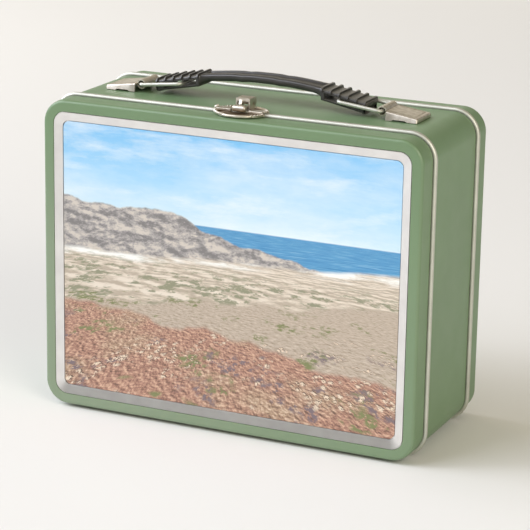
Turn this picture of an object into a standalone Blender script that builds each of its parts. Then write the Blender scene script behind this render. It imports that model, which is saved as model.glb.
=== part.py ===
"""A metal lunch box with a carrying handle, a drop-front lid and a snap latch.

Units are metres, +Z is up and -Y is the front. The origin is on the surface
that the box stands on, below the middle of the box. X runs along the width.
"""

import math

import bmesh
import bpy
from mathutils import Matrix

# Box: outer walls, without the rolled beads that stand proud of them.
# HAIR is the least step between two faces, SUNK how deep a joined piece goes in.
WALL_W = 0.2172
WALL_H = 0.1704
DEPTH = 0.0935
CORNER_R = 0.0130
SHEET = 0.0008
EDGE_R = 0.0018
GAP = 0.0003
HAIR = 0.0001
SUNK = 0.0002

# Rolled beads on the two seams
BEAD_R = 0.0014
BEAD_PROUD = 0.0018
SEAM_FRONT = -0.0315
SEAM_BACK = 0.0315
LIP_FORWARD = 0.0053
LIP_BACK = 0.0068
LIP_SHEET = 0.0008

# Lid window, bright tray and picture plate
RIM = 0.0061
BEZEL = 0.0049
RECESS = 0.0015
TRAY_SHEET = 0.0005
TRAY_FLANGE = 0.0025
PLATE_SHEET = 0.0008
PICTURE_R = 0.0038
BACK_BEVEL = 0.0030

# Hinge along the bottom of the front seam
HINGE_HALF = 0.0800
KNUCKLES = 9
PIN_R = 0.0006
LEAF_SHEET = 0.0006
LEAF_REACH = 0.0115
LEAF_CLEAR = 0.0035
FINGER_START = 0.00115
PIN_SIDES = 12

# Handle: an arch with a slotted, ribbed block at each end
HANDLE_END = 0.0615
BLOCK_START = 0.0355
GRIP_END = 0.0270
ARCH_TOP = 0.1876
ARCH_R = 0.240
GRIP_HALF_W = 0.0066
BLOCK_HALF_W = 0.0085
GRIP_THICK = 0.0052
BLOCK_BOTTOM_IN = 0.1787
BLOCK_BOTTOM_OUT = 0.1737
RIB_H = 0.0007
RIB_W = 0.0009
RIB_FIRST = 0.0360
RIB_PITCH = 0.0048
RIBS = 5
SLOT_IN = 0.0385
SLOT_OUT = 0.0560
SLOT_H = 0.0031
SLOT_SLOPE = -0.20
HANDLE_EDGE_R = 0.0009
NECK_FLARE = 0.0003
NECK_END = 0.0006
END_CHAMFER = 0.0005

# Wire bails that tie the handle to its brackets
BAIL_PIVOT_X = 0.0700
BAIL_PIVOT_Z = 0.1766
BAIL_CROSS_X = 0.0457
BAIL_CROSS_Z = 0.1794
BAIL_LEG_Y = 0.0099
WIRE_R = 0.00105
BAIL_BEND = 0.0022

# Sheet brackets on the top wall, each with a rolled tube for its bail
BRACKET_IN = 0.0730
BRACKET_OUT = 0.0905
BRACKET_HALF_Y = 0.0105
BRACKET_H_IN = 0.0050
BRACKET_H_OUT = 0.0025
TUBE_R = 0.0026
TUBE_BORE_R = 0.0014
TUBE_HALF_Y = 0.0079
BRACKET_NOSE = 0.0006
LINK_START = 0.0016
LINK_LOW = 0.0004

# Snap latch: keeper on the lid, base and hasp on the box
LATCH_X = 0.0005
LATCH_A = 0.0145
LATCH_B = 0.0125
LATCH_SHEET = 0.0008
SCALLOPS = 28
SCALLOP_H = 0.0004
HASP_HALF_W = 0.0045
HASP_SHEET = 0.0007
HASP_FRONT = -0.0335
HASP_PIVOT_Y = -0.0245
HASP_PIVOT_Z = 0.1769
HASP_R = 0.0033
HASP_BORE_R = 0.0011
EAR_R = 0.0023
EAR_SHEET = 0.0008
LATCH_PIN_R = 0.0008
BRIDGE_H = 0.0021
BOSS_Y = -0.0370
BOSS_R = 0.0022
BOSS_HALF_W = 0.0036
WING_CLEAR = 0.0006
WING_REACH = 0.0024
EAR_FOOT = 0.0012
EAR_NECK = 0.0018
PIN_PROUD = 0.0005
HASP_NOSE = 0.0006
HASP_OVER_BEAD = 0.0005
HASP_BACK_DEG = 15

FLOOR_GAP = BEAD_PROUD
MID_Z = FLOOR_GAP + WALL_H / 2
TOP_Z = FLOOR_GAP + WALL_H
FRONT_Y = -DEPTH / 2
BACK_Y = DEPTH / 2
BEAD_OUT = BEAD_PROUD - BEAD_R
HINGE_Z = FLOOR_GAP - BEAD_OUT
CORNER_STEPS = 8


def clear_scene():
    for obj in list(bpy.data.objects):
        bpy.data.objects.remove(obj, do_unlink=True)


def srgb(hex_text):
    values = [int(hex_text[i:i + 2], 16) / 255 for i in (0, 2, 4)]
    linear = [v / 12.92 if v <= 0.04045 else ((v + 0.055) / 1.055) ** 2.4 for v in values]
    return (*linear, 1.0)


def material(name, hex_text, roughness, metallic):
    mat = bpy.data.materials.get(name)
    if mat:
        return mat
    mat = bpy.data.materials.new(name)
    mat.use_nodes = True
    shader = mat.node_tree.nodes["Principled BSDF"]
    shader.inputs["Base Color"].default_value = srgb(hex_text)
    shader.inputs["Roughness"].default_value = roughness
    shader.inputs["Metallic"].default_value = metallic
    return mat


def green_enamel():
    return material("green_enamel", "7E9A74", 0.45, 0.0)


def bright_steel():
    return material("bright_steel", "D8D8D0", 0.25, 1.0)


def satin_steel():
    return material("satin_steel", "DAD6D2", 0.35, 1.0)


def nickel():
    return material("nickel", "C9BFAE", 0.28, 1.0)


def black_plastic():
    return material("black_plastic", "2E2D2C", 0.45, 0.0)


def printed_sheet():
    return material("printed_sheet", "7FA0B8", 0.35, 0.0)


def finish(bm, name, mat, smooth_deg=35.0):
    """Turn a closed bmesh into a named object with one material."""
    bmesh.ops.recalc_face_normals(bm, faces=bm.faces)
    mesh = bpy.data.meshes.new(name)
    bm.to_mesh(mesh)
    bm.free()
    obj = bpy.data.objects.new(name, mesh)
    bpy.context.scene.collection.objects.link(obj)
    obj.data.materials.append(mat)
    mesh.shade_smooth()
    mesh.set_sharp_from_angle(angle=math.radians(smooth_deg))
    return obj


def rounded_ring(outset):
    """Points of the box's rounded outline in X and Z, moved outwards by outset.

    Far inside, its corners keep the picture's own radius.
    """
    radius = max(CORNER_R + outset, PICTURE_R)
    half_w = WALL_W / 2 + outset - radius
    half_h = WALL_H / 2 + outset - radius
    centres = [(half_w, half_h), (-half_w, half_h), (-half_w, -half_h), (half_w, -half_h)]
    points = []
    for quarter, (cx, cz) in enumerate(centres):
        for step in range(CORNER_STEPS + 1):
            angle = math.radians(90 * (quarter + step / CORNER_STEPS))
            points.append((cx + radius * math.cos(angle), MID_Z + cz + radius * math.sin(angle)))
    return points


def arc(cx, cy, radius, start_deg, end_deg, steps):
    """Points (first, second) on an arc, both ends included."""
    turn = end_deg - start_deg
    angles = [math.radians(start_deg + turn * i / steps) for i in range(steps + 1)]
    return [(cx + radius * math.cos(a), cy + radius * math.sin(a)) for a in angles]


def sweep(name, profile, mat, closed=True):
    """Sweep a profile of (outset, y) points round the box's outline.

    A closed profile makes a frame. An open one is closed by a flat panel
    across its first ring and another across its last.
    """
    bm = bmesh.new()
    rings = []
    for outset, y in profile:
        rings.append([bm.verts.new((x, y, z)) for x, z in rounded_ring(outset)])
    count = len(rings[0])
    pairs = list(zip(rings, rings[1:]))
    if closed:
        pairs.append((rings[-1], rings[0]))
    for first, second in pairs:
        for i in range(count):
            j = (i + 1) % count
            bm.faces.new((first[i], first[j], second[j], second[i]))
    if not closed:
        bm.faces.new(rings[0])
        bm.faces.new(rings[-1])
    return finish(bm, name, mat)


def prism(name, outline, axis, low, high, mat):
    """Extrude an outline of two coordinates along the X, Y or Z axis."""
    def place(a, b, depth):
        if axis == "X":
            return (depth, a, b)
        if axis == "Y":
            return (a, depth, b)
        return (a, b, depth)

    bm = bmesh.new()
    first = [bm.verts.new(place(a, b, low)) for a, b in outline]
    second = [bm.verts.new(place(a, b, high)) for a, b in outline]
    for i in range(len(outline)):
        j = (i + 1) % len(outline)
        bm.faces.new((first[i], first[j], second[j], second[i]))
    bm.faces.new(first)
    bm.faces.new(second)
    return finish(bm, name, mat)


def box(name, low, high, mat):
    outline = [(low[0], low[1]), (high[0], low[1]), (high[0], high[1]), (low[0], high[1])]
    return prism(name, outline, "Z", low[2], high[2], mat)


def rod(name, centre, radius, low, high, mat, sides=16, axis="X"):
    """A round rod along X or Y; centre gives its other two coordinates."""
    outline = arc(centre[0], centre[1], radius, 0, 360 - 360 / sides, sides - 1)
    return prism(name, outline, axis, low, high, mat)


def combine(target, other, operation):
    """Boolean another object into the target and keep it as a hidden guide."""
    bpy.context.view_layer.update()
    mod = target.modifiers.new(other.name, "BOOLEAN")
    mod.operation = operation
    mod.object = other
    other.hide_render = True
    other.display_type = "WIRE"


def set_origin(obj, point):
    """Move an object's origin to a point without moving its shape."""
    obj.data.transform(Matrix.Translation([-c for c in point]))
    obj.location = point


def mirror_x(points):
    return [(-a, b) for a, b in reversed(points)]


def make_lid_pan():
    inner_r = EDGE_R - SHEET
    rear = SEAM_FRONT - BEAD_R - GAP
    outer = arc(-EDGE_R, FRONT_Y + EDGE_R, EDGE_R, 0, -90, 4)
    inner = arc(-EDGE_R, FRONT_Y + EDGE_R, inner_r, -90, 0, 3)
    profile = [(0, rear), *outer, (-RIM, FRONT_Y), (-RIM, FRONT_Y + SHEET), *inner, (-SHEET, rear)]
    return sweep("lid_pan", profile, green_enamel())


def make_front_tray():
    """Bright pressed tray: a flange behind the rim, a bevel and a flat floor."""
    window = -RIM - GAP
    inside = -RIM - BEZEL
    behind = FRONT_Y + SHEET + GAP
    floor = FRONT_Y + RECESS + PLATE_SHEET + GAP
    sheet = TRAY_SHEET
    profile = [
        (inside, floor),
        (inside, FRONT_Y + RECESS - HAIR),
        (window, FRONT_Y + HAIR),
        (window, behind),
        (-TRAY_FLANGE, behind),
        (-TRAY_FLANGE, behind + sheet),
        (window - sheet, behind + sheet),
        (window - sheet, FRONT_Y + SHEET),
        (inside + sheet, FRONT_Y + RECESS + sheet),
        (inside + sheet, floor + sheet),
    ]
    return sweep("front_tray", profile, satin_steel(), closed=False)


def make_picture_plate():
    edge = -RIM - BEZEL - GAP
    front = FRONT_Y + RECESS
    profile = [(edge, front), (edge, front + PLATE_SHEET)]
    return sweep("picture_plate", profile, printed_sheet(), closed=False)


def make_back_pan():
    """Rear cover: the same rim as the lid round a shallow pressed panel."""
    inner_r = EDGE_R - SHEET
    front = SEAM_BACK + BEAD_R + GAP
    outer = arc(-EDGE_R, BACK_Y - EDGE_R, EDGE_R, 0, 90, 4)
    inner = arc(-EDGE_R, BACK_Y - EDGE_R, inner_r, 90, 0, 3)
    panel = BACK_Y - RECESS
    bevel_in = -RIM - BACK_BEVEL
    profile = [
        (bevel_in - SHEET, panel - SHEET),
        (bevel_in, panel - SHEET),
        (-RIM - SHEET / 2, BACK_Y - SHEET),
        *inner,
        (-SHEET, front),
        (0, front),
        *outer,
        (-RIM, BACK_Y),
        (bevel_in, panel),
        (bevel_in - SHEET, panel),
    ]
    return sweep("back_pan", profile, green_enamel(), closed=False)


def make_body_band():
    front = SEAM_FRONT + BEAD_R + GAP
    back = SEAM_BACK - BEAD_R - GAP
    profile = [(0, front), (0, back), (-SHEET, back), (-SHEET, front)]
    return sweep("body_band", profile, green_enamel())


def bead_frame(name, seam_y, forward, back):
    """A rolled bead with a lip inside the walls on both sides of its seam."""
    lip_out = -SHEET - GAP
    lip_in = lip_out - LIP_SHEET
    profile = [
        *arc(BEAD_OUT, seam_y, BEAD_R, -90, 90, 8),
        (lip_out, seam_y + BEAD_R),
        (lip_out, seam_y + back),
        (lip_in, seam_y + back),
        (lip_in, seam_y - forward),
        (lip_out, seam_y - forward),
        (lip_out, seam_y - BEAD_R),
    ]
    return sweep(name, profile, bright_steel())


def make_front_frame():
    frame = bead_frame("front_frame", SEAM_FRONT, LIP_FORWARD, LIP_BACK)
    reach = HINGE_HALF + GAP
    low = (-reach, SEAM_FRONT - 2 * BEAD_R, -BEAD_R)
    high = (reach, SEAM_FRONT + 2 * BEAD_R, HINGE_Z + BEAD_R + GAP)
    combine(frame, box("hinge_recess", low, high, bright_steel()), "DIFFERENCE")
    return frame


def make_back_frame():
    return bead_frame("back_frame", SEAM_BACK, LIP_BACK, LIP_FORWARD)


def hinge_leaf(name, side, knuckle_numbers):
    """A leaf below the bottom wall with its share of the hinge's knuckles."""
    pitch = 2 * HINGE_HALF / KNUCKLES
    top = FLOOR_GAP - GAP
    bottom = top - LEAF_SHEET
    near = SEAM_FRONT + side * LEAF_CLEAR
    far = SEAM_FRONT + side * LEAF_REACH
    low_y, high_y = sorted((near, far))
    leaf = box(name, (-HINGE_HALF, low_y, bottom), (HINGE_HALF, high_y, top), bright_steel())
    for number in knuckle_numbers:
        low_x = -HINGE_HALF + number * pitch + GAP / 2
        high_x = low_x + pitch - GAP
        finger_y = sorted((SEAM_FRONT + side * FINGER_START, near + side * LEAF_SHEET))
        low = (low_x, finger_y[0], bottom)
        high = (high_x, finger_y[1], top)
        finger = box(f"{name}_finger_{number}", low, high, bright_steel())
        centre = (SEAM_FRONT, HINGE_Z)
        knuckle = rod(f"{name}_knuckle_{number}", centre, BEAD_R, low_x, high_x, bright_steel(), PIN_SIDES)
        combine(leaf, finger, "UNION")
        combine(leaf, knuckle, "UNION")
    bore_r = PIN_R + GAP
    bore = rod(f"{name}_bore", (SEAM_FRONT, HINGE_Z), bore_r, -DEPTH, DEPTH, bright_steel(), PIN_SIDES)
    combine(leaf, bore, "DIFFERENCE")
    return leaf


def make_hinge():
    body_leaf = hinge_leaf("hinge_leaf_body", 1, range(0, KNUCKLES, 2))
    lid_leaf = hinge_leaf("hinge_leaf_lid", -1, range(1, KNUCKLES, 2))
    centre = (SEAM_FRONT, HINGE_Z)
    pin = rod("hinge_pin", centre, PIN_R, -HINGE_HALF, HINGE_HALF, bright_steel(), PIN_SIDES)
    return body_leaf, lid_leaf, pin


def arch_top(x):
    return ARCH_TOP - x * x / (2 * ARCH_R)


def handle_bottom(x):
    """Underside of the handle: thin along the grip, deep at the end blocks."""
    x = abs(x)
    grip = arch_top(x) - GRIP_THICK
    along = (x - BLOCK_START) / (HANDLE_END - BLOCK_START)
    block = BLOCK_BOTTOM_IN + (BLOCK_BOTTOM_OUT - BLOCK_BOTTOM_IN) * along
    if x >= BLOCK_START:
        return block
    if x <= GRIP_END:
        return grip
    mix = (x - GRIP_END) / (BLOCK_START - GRIP_END)
    mix = mix * mix
    return grip * (1 - mix) + BLOCK_BOTTOM_IN * mix


def handle_section(half_w, top, bottom, round_bottom):
    """Outline in Y and Z of the handle at one place along it."""
    top_r = HANDLE_EDGE_R
    low_r = min((top - bottom) * (0.45 if round_bottom else 0.15), half_w * 0.6)
    corners = [
        (half_w - top_r, top - top_r, top_r, 0),
        (-half_w + top_r, top - top_r, top_r, 90),
        (-half_w + low_r, bottom + low_r, low_r, 180),
        (half_w - low_r, bottom + low_r, low_r, 270),
    ]
    points = []
    for cy, cz, radius, start in corners:
        points.extend(arc(cy, cz, radius, start, start + 90, 3))
    return points


def handle_stations():
    """Places along half of the handle: x, half width, top drop, rounded below."""
    stations = []
    for i in range(9):
        stations.append((GRIP_END * i / 8, GRIP_HALF_W, 0.0, True))
    for i in range(1, 4):
        x = GRIP_END + (BLOCK_START - NECK_END - GRIP_END) * i / 4
        stations.append((x, GRIP_HALF_W + NECK_FLARE * i, 0.0, True))
    stations.append((BLOCK_START - HAIR, GRIP_HALF_W + NECK_FLARE * 3.5, RIB_H, True))
    for rib in range(RIBS):
        middle = RIB_FIRST + rib * RIB_PITCH
        half = RIB_W / 2
        stations.append((middle - half, BLOCK_HALF_W, RIB_H, False))
        stations.append((middle - half + HAIR, BLOCK_HALF_W, 0.0, False))
        stations.append((middle + half - HAIR, BLOCK_HALF_W, 0.0, False))
        stations.append((middle + half, BLOCK_HALF_W, RIB_H, False))
    chamfer = END_CHAMFER
    stations.append((HANDLE_END - chamfer, BLOCK_HALF_W, RIB_H, False))
    stations.append((HANDLE_END, BLOCK_HALF_W - chamfer, RIB_H + chamfer, False))
    return stations


def make_handle():
    right = handle_stations()
    left = [(-x, w, drop, rounded) for x, w, drop, rounded in reversed(right[1:])]
    bm = bmesh.new()
    rings = []
    for x, half_w, drop, rounded in left + right:
        outline = handle_section(half_w, arch_top(x) - drop, handle_bottom(x), rounded)
        rings.append([bm.verts.new((x, y, z)) for y, z in outline])
    for first, second in zip(rings, rings[1:]):
        for i in range(len(first)):
            j = (i + 1) % len(first)
            bm.faces.new((first[i], first[j], second[j], second[i]))
    bm.faces.new(rings[0])
    bm.faces.new(rings[-1])
    handle = finish(bm, "handle", black_plastic())

    slot = []
    for x in (SLOT_IN, SLOT_OUT):
        middle = BAIL_CROSS_Z + SLOT_SLOPE * (x - BAIL_CROSS_X)
        slot.append((x, middle))
    half = SLOT_H / 2
    outline = [
        (slot[0][0], slot[0][1] - half),
        (slot[1][0], slot[1][1] - half),
        (slot[1][0], slot[1][1] + half),
        (slot[0][0], slot[0][1] + half),
    ]
    reach = 2 * BLOCK_HALF_W
    for side, shape in (("right", outline), ("left", mirror_x(outline))):
        combine(handle, prism(f"slot_{side}", shape, "Y", -reach, reach, black_plastic()), "DIFFERENCE")
    return handle


def make_bail(side, name):
    """Closed wire loop: one bar in the bracket's tube, one in the handle's slot."""
    length = math.hypot(BAIL_PIVOT_X - BAIL_CROSS_X, BAIL_CROSS_Z - BAIL_PIVOT_Z)
    slope = math.atan2(BAIL_CROSS_Z - BAIL_PIVOT_Z, BAIL_PIVOT_X - BAIL_CROSS_X)
    bend = BAIL_BEND
    corners = [
        (length - bend, BAIL_LEG_Y - bend, 0),
        (bend, BAIL_LEG_Y - bend, 90),
        (bend, -BAIL_LEG_Y + bend, 180),
        (length - bend, -BAIL_LEG_Y + bend, 270),
    ]
    points = []
    for along, across, start in corners:
        points.extend(arc(along, across, bend, start, start + 90, 4))
    curve = bpy.data.curves.new(name, "CURVE")
    curve.dimensions = "3D"
    curve.bevel_depth = WIRE_R
    curve.bevel_resolution = 2
    spline = curve.splines.new("POLY")
    spline.points.add(len(points) - 1)
    for target, (along, across) in zip(spline.points, points):
        x = -side * along * math.cos(slope)
        z = along * math.sin(slope)
        target.co = (x, across, z, 1.0)
    spline.use_cyclic_u = True
    curve.materials.append(bright_steel())
    obj = bpy.data.objects.new(name, curve)
    obj.location = (side * BAIL_PIVOT_X, 0, BAIL_PIVOT_Z)
    bpy.context.scene.collection.objects.link(obj)
    return obj


def make_bracket(side, name):
    """Sheet cap that slopes down outwards, with a rolled tube on its inner edge."""
    base = TOP_Z + GAP
    sheet = SHEET
    wedge = [
        (BRACKET_IN, base),
        (BRACKET_OUT, base),
        (BRACKET_OUT, TOP_Z + BRACKET_H_OUT - BRACKET_NOSE),
        (BRACKET_OUT - BRACKET_NOSE, TOP_Z + BRACKET_H_OUT),
        (BRACKET_IN, TOP_Z + BRACKET_H_IN),
    ]
    hollow = [
        (BRACKET_IN - sheet, base - sheet),
        (BRACKET_OUT - sheet, base - sheet),
        (BRACKET_OUT - sheet, TOP_Z + BRACKET_H_OUT - sheet),
        (BRACKET_IN - sheet, TOP_Z + BRACKET_H_IN - sheet),
    ]
    link = [
        (BAIL_PIVOT_X + LINK_START, BAIL_PIVOT_Z - LINK_LOW),
        (BRACKET_IN + sheet, TOP_Z + BRACKET_H_IN - sheet),
        (BRACKET_IN + sheet, TOP_Z + BRACKET_H_IN - HAIR),
        (BAIL_PIVOT_X + LINK_START, BAIL_PIVOT_Z - LINK_LOW + sheet),
    ]
    if side < 0:
        wedge, hollow, link = mirror_x(wedge), mirror_x(hollow), mirror_x(link)
    half = BRACKET_HALF_Y
    bracket = prism(name, wedge, "Y", -half, half, nickel())
    inner = half - sheet
    combine(bracket, prism(f"{name}_hollow", hollow, "Y", -inner, inner, nickel()), "DIFFERENCE")
    reach = TUBE_HALF_Y
    combine(bracket, prism(f"{name}_link", link, "Y", -reach + SUNK, reach - SUNK, nickel()), "UNION")
    centre = (side * BAIL_PIVOT_X, BAIL_PIVOT_Z)
    tube = rod(f"{name}_tube", centre, TUBE_R, -reach, reach, nickel(), 20, "Y")
    combine(bracket, tube, "UNION")
    bore = rod(f"{name}_bore", centre, TUBE_BORE_R, -2 * reach, 2 * reach, nickel(), 16, "Y")
    combine(bracket, bore, "DIFFERENCE")
    return bracket


def scalloped_half(start_deg, low_y, high_y):
    """Half of the latch's scalloped oval, cut off along the seam."""
    points = []
    steps = SCALLOPS * 2
    for i in range(steps + 1):
        degrees = start_deg + 180 * i / steps
        angle = math.radians(degrees)
        lobe = SCALLOP_H * abs(math.sin(math.radians(degrees) * SCALLOPS / 2))
        x = LATCH_X + (LATCH_A + lobe) * math.cos(angle)
        y = SEAM_FRONT + (LATCH_B + lobe) * math.sin(angle)
        if low_y <= y <= high_y:
            points.append((x, y))
    return points


def oval_x(y):
    return LATCH_A * math.sqrt(1 - ((y - SEAM_FRONT) / LATCH_B) ** 2)


def make_latch_keeper():
    """Scalloped plate on the lid, bridged over the bead, with a rolled catch."""
    base = TOP_Z + GAP
    edge = SEAM_FRONT - BEAD_R - GAP
    outline = scalloped_half(180, SEAM_FRONT - DEPTH, edge)
    keeper = prism("latch_keeper", outline, "Z", base, base + LATCH_SHEET, nickel())
    bridge_low = TOP_Z + BRIDGE_H
    bridge_high = bridge_low + LATCH_SHEET
    inner_x = HASP_HALF_W + WING_CLEAR
    foot_z = base + LATCH_SHEET / 2
    profile = [
        (edge - LATCH_SHEET, foot_z),
        (edge, foot_z),
        (edge, bridge_low),
        (SEAM_FRONT + WING_REACH, bridge_low),
        (SEAM_FRONT + WING_REACH, bridge_high),
        (edge - LATCH_SHEET, bridge_high),
    ]
    for side in (-1, 1):
        ends = sorted((LATCH_X + side * inner_x, LATCH_X + side * (oval_x(edge) - WING_CLEAR)))
        wing = prism(f"keeper_wing_{side}", profile, "X", ends[0], ends[1], nickel())
        combine(keeper, wing, "UNION")
    boss_z = base + LATCH_SHEET + BOSS_R - SUNK
    low_x, high_x = LATCH_X - BOSS_HALF_W, LATCH_X + BOSS_HALF_W
    boss = rod("keeper_boss", (BOSS_Y, boss_z), BOSS_R, low_x, high_x, nickel(), 16)
    combine(keeper, boss, "UNION")
    return keeper


def make_latch_base():
    """Scalloped plate on the box with two ears and the hasp's pivot pin."""
    base = TOP_Z + GAP
    edge = SEAM_FRONT + BEAD_R + GAP
    outline = scalloped_half(0, edge, SEAM_FRONT + DEPTH)
    plate = prism("latch_base", outline, "Z", base, base + LATCH_SHEET, nickel())
    ear_profile = [
        (HASP_PIVOT_Y - EAR_FOOT, base + SUNK),
        (HASP_PIVOT_Y + EAR_FOOT, base + SUNK),
        (HASP_PIVOT_Y + EAR_FOOT, HASP_PIVOT_Z - EAR_NECK),
        *arc(HASP_PIVOT_Y, HASP_PIVOT_Z, EAR_R, -40, 220, 10),
        (HASP_PIVOT_Y - EAR_FOOT, HASP_PIVOT_Z - EAR_NECK),
    ]
    outer = HASP_HALF_W - HASP_SHEET - GAP
    for side in (-1, 1):
        ends = sorted((LATCH_X + side * outer, LATCH_X + side * (outer - EAR_SHEET)))
        ear = prism(f"latch_ear_{side}", ear_profile, "X", ends[0], ends[1], nickel())
        combine(plate, ear, "UNION")
    centre = (HASP_PIVOT_Y, HASP_PIVOT_Z)
    reach = HASP_HALF_W + PIN_PROUD
    low_x, high_x = LATCH_X - reach, LATCH_X + reach
    combine(plate, rod("latch_pin", centre, LATCH_PIN_R, low_x, high_x, nickel(), 12), "UNION")
    return plate


def make_hasp():
    """Folded hasp: two cheeks under one top plate, open at the front."""
    top = HASP_PIVOT_Z + HASP_R
    bottom = HASP_PIVOT_Z - HASP_R
    over_bead = TOP_Z + BEAD_PROUD + HASP_OVER_BEAD
    step_y = SEAM_FRONT + BEAD_R + 2 * GAP
    side_profile = [
        (HASP_FRONT, over_bead),
        (step_y, over_bead),
        (step_y, bottom),
        *arc(HASP_PIVOT_Y, HASP_PIVOT_Z, HASP_R, -90, 90, 12),
        (HASP_FRONT + HASP_NOSE, top),
        (HASP_FRONT, top - HASP_NOSE),
    ]
    low_x, high_x = LATCH_X - HASP_HALF_W, LATCH_X + HASP_HALF_W
    hasp = prism("latch_hasp", side_profile, "X", low_x, high_x, nickel())
    inner_r = HASP_R - HASP_SHEET
    far = 3 * HASP_R
    cavity = [
        (HASP_FRONT - far, bottom - far),
        (HASP_PIVOT_Y + far, bottom - far),
        (HASP_PIVOT_Y + far, HASP_PIVOT_Z + inner_r * math.sin(math.radians(HASP_BACK_DEG))),
        *arc(HASP_PIVOT_Y, HASP_PIVOT_Z, inner_r, HASP_BACK_DEG, 90, 6),
        (HASP_FRONT - far, top - HASP_SHEET),
    ]
    inner = HASP_HALF_W - HASP_SHEET
    hollow = prism("hasp_hollow", cavity, "X", LATCH_X - inner, LATCH_X + inner, nickel())
    combine(hasp, hollow, "DIFFERENCE")
    centre = (HASP_PIVOT_Y, HASP_PIVOT_Z)
    reach = 2 * HASP_HALF_W
    bore = rod("hasp_bore", centre, HASP_BORE_R, LATCH_X - reach, LATCH_X + reach, nickel(), 12)
    combine(hasp, bore, "DIFFERENCE")
    set_origin(hasp, (LATCH_X, HASP_PIVOT_Y, HASP_PIVOT_Z))
    return hasp


def main():
    clear_scene()
    lid_axis = bpy.data.objects.new("lid_axis", None)
    lid_axis.location = (0, SEAM_FRONT, HINGE_Z)
    bpy.context.scene.collection.objects.link(lid_axis)

    make_body_band()
    make_front_frame()
    make_back_frame()
    make_back_pan()
    lid_pieces = [make_lid_pan(), make_front_tray(), make_picture_plate()]
    body_leaf, lid_leaf, pin = make_hinge()
    lid_pieces.append(lid_leaf)
    make_bracket(1, "bracket_right")
    make_bracket(-1, "bracket_left")
    make_bail(1, "bail_right")
    make_bail(-1, "bail_left")
    make_handle()
    make_latch_base()
    make_hasp()
    lid_pieces.append(make_latch_keeper())

    bpy.context.view_layer.update()
    for piece in lid_pieces:
        piece.parent = lid_axis
        piece.matrix_parent_inverse = lid_axis.matrix_world.inverted()
    bpy.context.view_layer.update()


main()
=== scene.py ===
# %% [markdown]
# # Dressing a metal lunch box
#
# The measured model gives every part of the box at its real size and place, but
# its surfaces are plain. This lesson builds the finished look around it: pressed
# and enamelled sheet, rolled steel seams, a bright tray round a printed picture,
# plated fittings and a moulded handle. Each piece is modelled as one would by
# hand, from a primitive that is cut, bevelled and extruded in edit mode.

# %% Load the measured model
import math
import bmesh
import bpy
from mathutils import Matrix, Vector


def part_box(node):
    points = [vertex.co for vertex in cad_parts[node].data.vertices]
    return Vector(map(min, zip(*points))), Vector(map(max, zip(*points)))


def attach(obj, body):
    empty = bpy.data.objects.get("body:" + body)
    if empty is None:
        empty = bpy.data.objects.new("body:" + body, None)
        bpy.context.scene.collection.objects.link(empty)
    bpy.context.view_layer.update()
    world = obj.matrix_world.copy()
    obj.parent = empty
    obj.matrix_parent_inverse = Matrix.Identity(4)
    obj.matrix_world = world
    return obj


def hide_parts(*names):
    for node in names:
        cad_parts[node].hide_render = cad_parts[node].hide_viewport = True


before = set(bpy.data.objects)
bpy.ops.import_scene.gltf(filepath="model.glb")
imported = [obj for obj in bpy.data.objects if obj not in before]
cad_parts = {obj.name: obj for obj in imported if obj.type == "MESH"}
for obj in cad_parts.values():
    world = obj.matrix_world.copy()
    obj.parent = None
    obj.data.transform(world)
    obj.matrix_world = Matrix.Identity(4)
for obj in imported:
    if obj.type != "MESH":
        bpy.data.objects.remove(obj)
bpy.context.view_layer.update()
print("nodes:", sorted(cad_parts))

# %% [markdown]
# ## Working by selection
#
# In edit mode one selects a face, edge or point and then runs an operator on it.
# A script can't click, so it selects by rules: this face looks forwards, this
# edge runs along Y, this point lies on that plane. An operator works on all that
# is selected, so every pick starts by selecting nothing.

# %% Helpers: select
MM = 0.001
NEAR = 0.01 * MM
X, Y, Z = Vector((1, 0, 0)), Vector((0, 1, 0)), Vector((0, 0, 1))


def take(*objects):
    """Leave edit mode and select only these objects; the first is active."""
    if bpy.context.mode != "OBJECT":
        bpy.ops.object.mode_set(mode="OBJECT")
    bpy.ops.object.select_all(action="DESELECT")
    for obj in objects:
        obj.select_set(True)
    if objects:
        bpy.context.view_layer.objects.active = objects[0]


def pick(obj, kind, *rules):
    """In edit mode, select the points, edges or faces that pass every rule."""
    if bpy.context.mode != "EDIT_MESH" or bpy.context.object != obj:
        take(obj)
        bpy.ops.object.mode_set(mode="EDIT")
    bpy.ops.mesh.select_mode(type=kind)
    bpy.ops.mesh.select_all(action="DESELECT")
    mesh = bmesh.from_edit_mesh(obj.data)
    items = {"VERT": mesh.verts, "EDGE": mesh.edges, "FACE": mesh.faces}[kind]
    chosen = [item for item in items if all(rule(item) for rule in rules)]
    for item in chosen:
        item.select_set(True)
    bmesh.update_edit_mesh(obj.data)
    return len(chosen)


def corners(item):
    return item.verts if hasattr(item, "verts") else [item]


def centre(item):
    return sum((v.co for v in corners(item)), Vector()) / len(corners(item))


def at(axis, value):
    """Rule: every corner lies on the plane across X, Y or Z at this value."""
    index = "XYZ".index(axis)
    return lambda item: all(abs(v.co[index] - value) < NEAR for v in corners(item))


def within(axis, low, high):
    """Rule: the centre lies between two values on X, Y or Z."""
    index = "XYZ".index(axis)
    return lambda item: low < centre(item)[index] < high


def facing(direction, least=0.9):
    return lambda face: face.normal.dot(direction) > least


def along(direction, least=0.99):
    def rule(edge):
        start, end = (v.co for v in edge.verts)
        return abs((end - start).normalized().dot(direction)) > least
    return rule


# %% Helpers: shape
def clear(obj, kind, *rules):
    """Delete all that passes every rule."""
    pick(obj, kind, *rules)
    bpy.ops.mesh.delete(type=kind)


def move(obj, kind, way, *rules):
    """Move all that passes every rule."""
    pick(obj, kind, *rules)
    bpy.ops.transform.translate(value=way)


def round_off(obj, width, segments, *rules):
    """Round the edges that pass every rule."""
    pick(obj, "EDGE", *rules)
    bpy.ops.mesh.bevel(offset=width, segments=segments, affect="EDGES")


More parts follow.
